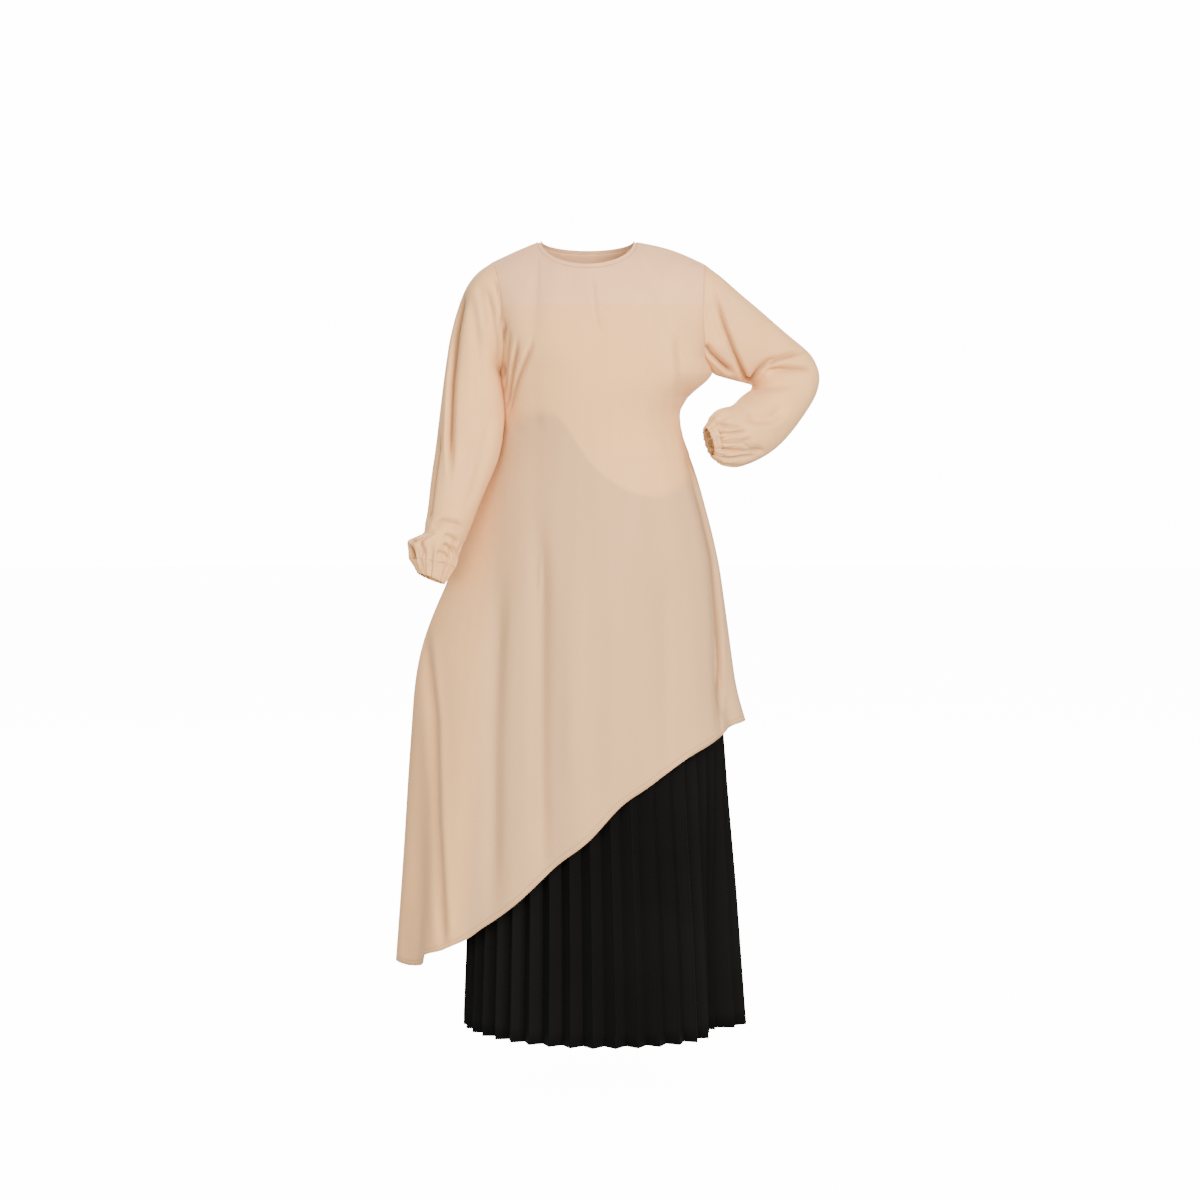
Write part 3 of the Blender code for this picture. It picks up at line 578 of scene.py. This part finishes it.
def islands(mesh):
    """The mesh's connected groups of faces."""
    left, groups = set(mesh.faces), []
    while left:
        seed = left.pop()
        group, reached = {seed}, [seed]
        while reached:
            face = reached.pop()
            for edge in face.edges:
                for other in edge.link_faces:
                    if other in left:
                        left.remove(other)
                        group.add(other)
                        reached.append(other)
        groups.append(group)
    return groups


def outer_wall(piece):
    """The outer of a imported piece's two sides, in quads where it can be."""
    mesh = merged(piece.node)
    bmesh.ops.delete(mesh, geom=rim_faces(mesh, piece), context="FACES")
    middle = sum((v.co for v in mesh.verts), Vector()) / len(mesh.verts)
    sides = sorted(islands(mesh), key=len, reverse=True)[:2]
    flux = [
        sum((f.calc_center_median() - middle).dot(f.normal) * f.calc_area() for f in side)
        for side in sides
    ]
    kept = sides[flux.index(max(flux))]
    bmesh.ops.delete(mesh, geom=[f for f in mesh.faces if f not in kept], context="FACES")
    bmesh.ops.join_triangles(
        mesh,
        faces=mesh.faces[:],
        angle_face_threshold=JOIN_FACE,
        angle_shape_threshold=JOIN_SHAPE,
    )
    return mesh


def mark_corners(mesh):
    """Keeps a sheet's corners sharp when it is smoothed."""
    layer = mesh.verts.layers.float.new("crease_vert")
    for vert in mesh.verts:
        border = [edge for edge in vert.link_edges if edge.is_boundary]
        if len(border) == 2:
            ways = [(edge.other_vert(vert).co - vert.co).normalized() for edge in border]
            if math.pi - ways[0].angle(ways[1]) > CORNER:
                vert[layer] = 1.0


def mark_ridges(mesh):
    """Keeps pressed folds sharp when the sheet is smoothed."""
    layer = mesh.edges.layers.float.new("crease_edge")
    for edge in mesh.edges:
        if edge.is_manifold and edge.calc_face_angle() > RIDGE:
            edge[layer] = 1.0


def smoothed(mesh, piece, levels, pleated=False):
    """The sheet as a finely divided mesh."""
    mark_corners(mesh)
    if pleated:
        mark_ridges(mesh)
    coarse = bpy.data.meshes.new(piece.node)
    mesh.to_mesh(coarse)
    mesh.free()
    holder = bpy.data.objects.new("smoothing", coarse)
    bpy.context.scene.collection.objects.link(holder)
    divide = holder.modifiers.new("divide", "SUBSURF")
    divide.levels = divide.render_levels = levels
    divide.boundary_smooth = "PRESERVE_CORNERS"
    graph = bpy.context.evaluated_depsgraph_get()
    fine = bpy.data.meshes.new_from_object(holder.evaluated_get(graph))
    bpy.data.objects.remove(holder)
    bpy.data.meshes.remove(coarse)
    return fine


def points_of(data):
    points = np.empty(len(data.vertices) * 3)
    data.vertices.foreach_get("co", points)
    return points.reshape(-1, 3)


def normals_of(data):
    normals = np.empty(len(data.vertices) * 3)
    data.vertex_normals.foreach_get("vector", normals)
    return normals.reshape(-1, 3)


def put_points(data, points):
    data.vertices.foreach_set("co", points.astype(np.float32).ravel())
    data.update()


def write_mark(data, name, values):
    """Keeps a value for each point, for the materials to read."""
    layer = data.attributes.new(name, "FLOAT", "POINT")
    layer.data.foreach_set("value", values.astype(np.float32))


def border_loops(data):
    """The sheet's border edges as loops of vertex numbers."""
    mesh = bmesh.new()
    mesh.from_mesh(data)
    follow = {}
    for edge in mesh.edges:
        if edge.is_boundary:
            a, b = (vert.index for vert in edge.verts)
            follow.setdefault(a, []).append(b)
            follow.setdefault(b, []).append(a)
    mesh.free()
    loops = []
    while follow:
        start = min(follow)
        loop, at, came = [start], start, None
        while True:
            ways = [n for n in follow[at] if n != came]
            came, at = at, ways[0]
            if at == start:
                break
            loop.append(at)
        for n in loop:
            del follow[n]
        loops.append(loop)
    return loops


def nearest(places):
    tree = kdtree.KDTree(len(places))
    for i, place in enumerate(places):
        tree.insert(place, i)
    tree.balance()
    return tree


def move_border(data, loop, places, reach):
    """Moves a border's points to new places, and draws the cloth within reach along with it."""
    points = points_of(data)
    moves = [there - points[n] for n, there in zip(loop, places)]
    border = nearest([points[n] for n in loop])
    moved = points.copy()
    for i, point in enumerate(points):
        _, index, distance = border.find(point)
        if distance < reach:
            moved[i] += moves[index] * (1.0 - distance / reach) ** 2
    put_points(data, moved)


def filled_in(loop, gap=math.inf):
    """A closed line of points, with more between each two that lie closer than a gap."""
    filled = []
    for first, second in zip(loop, np.roll(loop, -1, axis=0)):
        if math.dist(first, second) < gap:
            filled += [first + (second - first) * share for share in QUARTERS]
    return filled


def seat_border(data, loop, target, reach):
    """Seats one border of a sheet on its neighbour's border, a seam's gap inside it."""
    there = nearest(filled_in(target, reach))
    points = points_of(data)
    middle = points.mean(axis=0)
    places = []
    for n in loop:
        spot = np.array(there.find(points[n])[0])
        inward = middle - spot
        places.append(spot + inward / np.linalg.norm(inward) * SEAT_GAP)
    move_border(data, loop, places, reach)


def keep_border(data, border):
    """Puts a sheet's border back where it was before its folds."""
    move_border(data, border_loops(data)[0], border, BORDER_REACH)


def join_sides(front, back):
    """Draws two panels' side borders together, halfway each, where they were sewn."""
    rims = [points_of(data)[border_loops(data)[0]] for data in (front, back)]
    for data, own, other in ((front, rims[0], rims[1]), (back, rims[1], rims[0])):
        there = nearest(filled_in(other))
        places = []
        for point in own:
            spot, _, distance = there.find(point)
            share = 0.5 if distance < SEAM_REACH else 0.0
            places.append(point + (np.array(spot) - point) * share)
        keep_border(data, places)


def off_path(x, z, path):
    """How far each point is to the side of a path, signed, and how far along it, 0 to 1."""
    lengths = [math.dist(a, b) for a, b in zip(path, path[1:])]
    total, run = sum(lengths), 0.0
    best = np.full(len(x), np.inf)
    side = np.zeros(len(x))
    share = np.zeros(len(x))
    for (ax, az), (bx, bz), length in zip(path, path[1:], lengths):
        ux, uz = (bx - ax) / length, (bz - az) / length
        along = np.clip((x - ax) * ux + (z - az) * uz, 0.0, length)
        away = np.hypot(x - ax - along * ux, z - az - along * uz)
        nearer = away < best
        best = np.where(nearer, away, best)
        across = (x - ax) * -uz + (z - az) * ux
        side = np.where(nearer, np.sign(across), side)
        share = np.where(nearer, (run + along) / total, share)
        run += length
    return best * side, share


def press_folds(data, folds, facing):
    """Presses folds into the cloth that faces front (-1) or back (1)."""
    points, normals = points_of(data), normals_of(data)
    seen = smoothstep((normals[:, 1] * facing + TURNED_FROM) / TURNED_OVER)
    out, creased = np.zeros(len(points)), np.zeros(len(points))
    for fold in folds:
        side, share = off_path(points[:, 0], points[:, 2], fold.path)
        near = side / fold.width
        shape = -fold.groove * np.exp(-near * near) + fold.lap * near * np.exp(-near * near / 2)
        ends = smoothstep(share / fold.start) * smoothstep((1.0 - share) / fold.end)
        out += shape * ends
        if fold.width < CREASE_BELOW:
            tight = min(fold.groove / CREASE_FULL, 1.0) * np.exp(-((side / CREASE_WIDTH) ** 2))
            creased = np.maximum(creased, tight * ends * seen)
    write_mark(data, "crease", creased)
    ways = normals + np.array((0.0, facing, 0.0))
    ways /= np.linalg.norm(ways, axis=1)[:, None] + TINY
    put_points(data, points + ways * (out * seen)[:, None])


def ripple(data, height):
    """The slight unevenness of hanging cloth, longer downwards than across."""
    points, normals = points_of(data), normals_of(data)
    size = np.array([1.0, 1.0, RIPPLE_STRETCH]) / RIPPLE_SIZE
    out = np.array([noise.noise(Vector(point)) for point in points * size])
    put_points(data, points + normals * (out * height)[:, None])


def swell(data, swells):
    """Moves a piece's sides in and out by height."""
    points = points_of(data)
    for side in swells:
        heights, moves = zip(*side.moves)
        move = np.interp(points[:, 2], heights, moves)
        points[:, 0] += move * smoothstep((points[:, 0] - side.start) / side.over)
    put_points(data, points)


def sloping_hem(loop, data):
    """The stretch of a panel's border that runs along its slanting hem."""
    points = points_of(data)[loop]
    run = np.roll(points, -1, axis=0) - points
    hem = [
        i
        for i in range(len(loop))
        if points[i][2] < HEM_BELOW and abs(run[i][0]) > HEM_LEAN * abs(run[i][2])
    ]
    return [loop[i] for i in sorted(hem, key=lambda i: points[i][0])]


def trim_hem(data):
    """Gives the front's hem the small turns that it takes beside the long corner."""
    points = points_of(data)
    hem = points[sloping_hem(border_loops(data)[0], data)]
    across, moves = zip(*HEM_TRIM)
    above = points[:, 2] - np.interp(points[:, 0], hem[:, 0], hem[:, 2])
    points[:, 2] += np.interp(points[:, 0], across, moves) * smoothstep(1.0 - above / HEM_REACH)
    put_points(data, points)


def skirt_tree():
    """The skirt's and waistband's packed surfaces, to keep the overdress off them."""
    corners, faces = [], []
    for piece in (SKIRT_FRONT, SKIRT_BACK, WAISTBAND):
        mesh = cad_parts[piece.node].data
        start = len(corners)
        corners += [vert.co.copy() for vert in mesh.vertices]
        faces += [[start + n for n in face.vertices] for face in mesh.polygons]
    return bvhtree.BVHTree.FromPolygons(corners, faces)


def keep_off(data, tree):
    """Lifts the overdress wherever a fold would press it into the skirt."""
    points, normals = points_of(data), normals_of(data)
    for i, (point, normal) in enumerate(zip(points, normals)):
        above = Vector(point + normal * LIFT_FROM)
        _, _, _, reach = tree.ray_cast(above, Vector(-normal), LIFT_FROM + CLEAR)
        if reach is not None:
            points[i] += normal * (LIFT_FROM + CLEAR - reach)
    put_points(data, points)


def gather(data, line, gathers, sign):
    """Gathers cloth at a cuff. sign is 1 where it lies before the cuff's start, -1 past it."""
    points, normals = points_of(data), normals_of(data)
    way = np.array(line.way) / np.linalg.norm(line.way)
    side = np.cross(way, (0.0, -1.0, 0.0))
    side /= np.linalg.norm(side)
    front = np.cross(side, way)
    from_start = points - np.array(line.start)
    before = np.clip(-(from_start @ way) * sign, 0.0, None)
    angle = np.arctan2(from_start @ front, from_start @ side)
    out = np.zeros(len(points))
    for row in gathers:
        fade = np.exp(-((before / row.reach) ** 2))
        wander = WANDER * np.sin(2.0 * angle + row.turn)
        out += row.depth * fade * np.sin(row.count * angle + row.turn + wander)
    put_points(data, points + normals * out[:, None])


def stitch_elastic(data, line):
    """Presses the cuff's rows of elastic into it."""
    points, normals = points_of(data), normals_of(data)
    way = np.array(line.way) / np.linalg.norm(line.way)
    past = (points - np.array(line.start)) @ way
    out = np.zeros(len(points))
    for row in ELASTIC_ROWS:
        out -= ELASTIC_DEPTH * np.exp(-(((past - row) / ELASTIC_WIDTH) ** 2))
    put_points(data, points + normals * out[:, None])


def mark_hem(data, hem):
    """Marks each point's distance from the hem, and its place along it, for the stitches."""
    points = points_of(data)
    steps = np.linalg.norm(np.diff(points[hem], axis=0), axis=1)
    run = np.concatenate([[0.0], np.cumsum(steps)])
    tree = nearest([points[n] for n in hem])
    off, along = np.empty(len(points)), np.empty(len(points))
    for i, point in enumerate(points):
        _, index, distance = tree.find(point)
        off[i], along[i] = distance, run[index]
    write_mark(data, "hem", off)
    write_mark(data, "along", along)


def mark_pressed(data):
    """Writes how near each point is to the outer edge of a pleat."""
    mesh = bmesh.new()
    mesh.from_mesh(data)
    edges = [e for e in mesh.edges if e.is_manifold and e.calc_face_angle_signed() > RIDGE]
    ridge = [(e.verts[0].co + e.verts[1].co) / 2 for e in edges]
    mesh.free()
    points = points_of(data)
    tree = nearest(ridge)
    away = np.array([tree.find(point)[2] for point in points])
    write_mark(data, "pressed", np.exp(-((away / PRESSED_WIDTH) ** 2)))


def mark_lining_and_shade(data):
    """Marks where the overdress is lined, and where it lies on the black skirt and is painted in
    shade.
    """
    points = points_of(data)
    x, z = points[:, 0], points[:, 2]
    top = np.interp(x, *zip(*SKIRT_TOP))
    fade = np.interp(x, *zip(*SKIRT_FADE))
    (high, side_high), (low, side_low) = SKIRT_SIDE
    side = side_high + (side_low - side_high) * (z - high) / (low - high)
    # Over the skirt: the skirt shows through, and a painted shade darkens the crepe as well
    backed_and_shaded = smoothstep((top - z) / fade + 0.5) * smoothstep((x - side) / SIDE_FADE)
    write_mark(data, "lined", smoothstep((z - LINED_ABOVE) / LINED_FADE))
    write_mark(data, "backed_and_shaded", backed_and_shaded)


def build_panels():
    """The overdress's front and back."""
    made, skirt = [], skirt_tree()
    for piece, folds, facing in ((FRONT, FRONT_FOLDS, -1.0), (BACK, BACK_FOLDS, 1.0)):
        data = smoothed(outer_wall(piece), piece, FINE)
        swell(data, PANEL_SWELLS)
        if piece is FRONT:
            trim_hem(data)
        border = points_of(data)[border_loops(data)[0]]
        ripple(data, RIPPLE_HEIGHT)
        press_folds(data, folds, facing)
        keep_off(data, skirt)
        keep_border(data, border)
        mark_hem(data, sloping_hem(border_loops(data)[0], data))
        mark_lining_and_shade(data)
        made.append(data)
    join_sides(*made)
    return made


def armhole_of(panels, right):
    """The points of both panels' borders that lie at one armhole, in order round it."""
    found = []
    for data in panels:
        for point in points_of(data)[border_loops(data)[0]]:
            at_side = point[0] < RIGHT_ARMHOLE if right else point[0] > LEFT_ARMHOLE
            if at_side and point[2] > ARMHOLE_BOTTOM:
                found.append(point)
    found = np.array(found)
    middle = found.mean(axis=0)
    angle = np.arctan2(found[:, 2] - middle[2], found[:, 1] - middle[1])
    return found[np.argsort(angle)]


def build_sleeve(piece, folds, swells, line, armhole):
    """A sleeve, and the points of its lower end."""
    data = smoothed(outer_wall(piece), piece, FINE)
    loops = border_loops(data)
    head, end = sorted(loops, key=lambda loop: -points_of(data)[loop][:, 2].max())
    ripple(data, RIPPLE_HEIGHT)
    press_folds(data, folds, -1.0)
    swell(data, swells)
    gather(data, line, SLEEVE_GATHERS, 1.0)
    seat_border(data, head, armhole, SLEEVE_REACH)
    return data, points_of(data)[end]


def build_cuff(piece, line, sleeve_end):
    data = smoothed(outer_wall(piece), piece, FINE)
    gather(data, line, CUFF_GATHERS, -1.0)
    stitch_elastic(data, line)
    way = np.array(line.way)
    start = min(border_loops(data), key=lambda loop: (points_of(data)[loop] @ way).mean())
    seat_border(data, start, sleeve_end, CUFF_REACH)
    return data


def build_binding():
    data = smoothed(outer_wall(BINDING), BINDING, FINE)
    mark_lining_and_shade(data)
    return data


def build_skirt():
    """The skirt's front and back."""
    made = []
    for piece in (SKIRT_FRONT, SKIRT_BACK):
        data = smoothed(outer_wall(piece), piece, FINE, pleated=True)
        border = points_of(data)[border_loops(data)[0]]
        ripple(data, RIPPLE_HEIGHT)
        keep_border(data, border)
        data.set_sharp_from_angle(angle=RIDGE)
        mark_pressed(data)
        made.append(data)
    join_sides(*made)
    return made


def place_sheet(data, piece, material):
    """The finished cloth: a sheet with a wall, in its node's place."""
    obj = bpy.data.objects.new(piece.node + ".cloth", data)
    bpy.context.scene.collection.objects.link(obj)
    data.materials.clear()
    data.materials.append(material)
    data.shade_smooth()
    wall = obj.modifiers.new("wall", "SOLIDIFY")
    wall.thickness = piece.shown
    wall.offset = -1.0
    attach(obj, "root")
    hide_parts(piece.node)


def build_camera():
    camera = bpy.data.objects.new("camera", bpy.data.cameras.new("camera"))
    bpy.context.scene.collection.objects.link(camera)
    camera.location = CAMERA_PLACE
    camera.rotation_euler = (math.radians(90.0 - CAMERA_DIP), 0.0, 0.0)
    camera.data.lens = CAMERA_LENS
    camera.data.sensor_width = CAMERA_SENSOR
    camera.data.dof.use_dof = False
    bpy.context.scene.camera = camera


def build_lights():
    for box in SOFTBOXES:
        data = bpy.data.lights.new(box.name, "AREA")
        data.shape = "SQUARE"
        data.size = box.size
        data.energy = box.power
        data.color = linear(LAMP_COLOUR)[:3]
        light = bpy.data.objects.new(box.name, data)
        bpy.context.scene.collection.objects.link(light)
        light.location = box.place
        way = Vector(box.aim) - Vector(box.place)
        light.rotation_euler = way.to_track_quat("-Z", "Y").to_euler()


def build_world():
    """Light from all round, and a brighter backdrop that only the camera sees."""
    world = bpy.data.worlds.new("studio")
    bpy.context.scene.world = world
    world.use_nodes = True
    tree = world.node_tree
    around = tree.nodes["Background"]
    around.inputs["Color"].default_value = linear(SKY_COLOUR)
    around.inputs["Strength"].default_value = SKY_LIGHT
    backdrop = tree.nodes.new("ShaderNodeBackground")
    backdrop.inputs["Color"].default_value = linear(WHITE)
    backdrop.inputs["Strength"].default_value = BACKDROP
    seen = tree.nodes.new("ShaderNodeLightPath")
    either = tree.nodes.new("ShaderNodeMixShader")
    tree.links.new(seen.outputs["Is Camera Ray"], either.inputs[0])
    tree.links.new(around.outputs[0], either.inputs[1])
    tree.links.new(backdrop.outputs[0], either.inputs[2])
    tree.links.new(either.outputs[0], tree.nodes["World Output"].inputs["Surface"])


def build_floor():
    """A plain pale floor."""
    mesh = bmesh.new()
    bmesh.ops.create_circle(mesh, cap_ends=True, segments=FLOOR_SIDES, radius=FLOOR_RADIUS)
    bmesh.ops.translate(mesh, verts=mesh.verts, vec=(0.0, 0.0, FLOOR_Z))
    data = bpy.data.meshes.new("floor")
    mesh.to_mesh(data)
    mesh.free()
    floor = bpy.data.objects.new("floor", data)
    bpy.context.scene.collection.objects.link(floor)
    # Opal acrylic sheet, lit from below
    material, _ = new_material(
        "lit acrylic studio floor, matte white",
        Roughness=0.9,
        Base_Color=linear(FLOOR_COLOUR),
        Emission_Color=linear(WHITE),
        Emission_Strength=FLOOR_GLOW,
    )
    data.materials.append(material)
    floor.visible_diffuse = False
    floor.visible_glossy = False


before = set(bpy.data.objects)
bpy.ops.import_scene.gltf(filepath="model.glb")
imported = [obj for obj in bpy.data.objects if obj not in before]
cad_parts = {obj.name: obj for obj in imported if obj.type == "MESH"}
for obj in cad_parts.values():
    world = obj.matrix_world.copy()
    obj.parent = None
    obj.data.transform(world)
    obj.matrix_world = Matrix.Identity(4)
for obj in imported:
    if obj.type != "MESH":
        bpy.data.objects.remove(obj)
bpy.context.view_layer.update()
build_camera()
build_lights()
build_world()
build_floor()

cloths = {BEIGE: beige_crepe(), BLACK: black_pleated_crepe()}
front, back = build_panels()
right_sleeve, right_end = build_sleeve(
    RIGHT_SLEEVE,
    RIGHT_SLEEVE_FOLDS,
    RIGHT_SLEEVE_SWELLS,
    RIGHT_LINE,
    armhole_of((front, back), right=True),
)
left_sleeve, left_end = build_sleeve(
    LEFT_SLEEVE,
    LEFT_SLEEVE_FOLDS,
    [],
    LEFT_LINE,
    armhole_of((front, back), right=False),
)
skirt_front, skirt_back = build_skirt()
sheets = {
    FRONT: front,
    BACK: back,
    RIGHT_SLEEVE: right_sleeve,
    LEFT_SLEEVE: left_sleeve,
    RIGHT_CUFF: build_cuff(RIGHT_CUFF, RIGHT_LINE, right_end),
    LEFT_CUFF: build_cuff(LEFT_CUFF, LEFT_LINE, left_end),
    BINDING: build_binding(),
    SKIRT_FRONT: skirt_front,
    SKIRT_BACK: skirt_back,
    WAISTBAND: smoothed(outer_wall(WAISTBAND), WAISTBAND, PLAIN),
}
for piece, data in sheets.items():
    place_sheet(data, piece, cloths[piece.slot])
